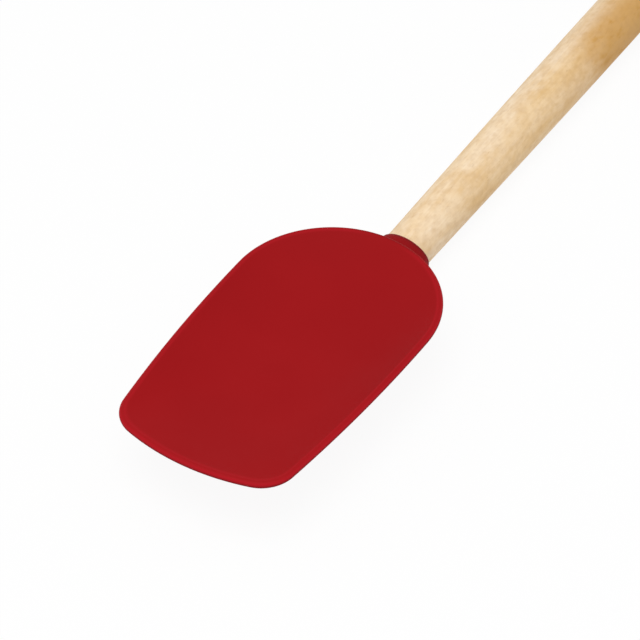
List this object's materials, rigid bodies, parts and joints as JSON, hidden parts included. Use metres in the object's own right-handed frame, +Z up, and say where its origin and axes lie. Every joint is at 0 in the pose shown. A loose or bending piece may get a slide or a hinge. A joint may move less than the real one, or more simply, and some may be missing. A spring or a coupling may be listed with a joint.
{
  "type": "silicone stirring spoon",
  "caption": "Stirring spoon with a shallow dished silicone blade moulded over a stiff core and pushed on a turned wooden handle; the head pulls off for washing.",
  "frame": {"origin": "bottom centre of the spoon's box: under the middle of its length, on the surface that it lies on", "axes": "+X along the handle from the head to the butt, +Z up out of the bowl, +Y across the blade"},
  "size_m": [0.3118, 0.062, 0.0219],
  "materials": {
    "red_silicone": "smooth matte red silicone with a soft sheen",
    "core_nylon": "dark moulded nylon",
    "pale_wood": "sanded and oiled pale wood with soft blotches"
  },
  "bodies": {
    "handle": {"wooden_handle": "pale_wood"},
    "head": {"silicone_head": "red_silicone", "stiffener_core": "core_nylon"}
  },
  "joints": [
    {"name": "head_pull_off", "type": "slide", "parent": "handle", "child": "head", "axis": [-1, 0, 0], "range_m": [0, 0.05]}
  ]
}
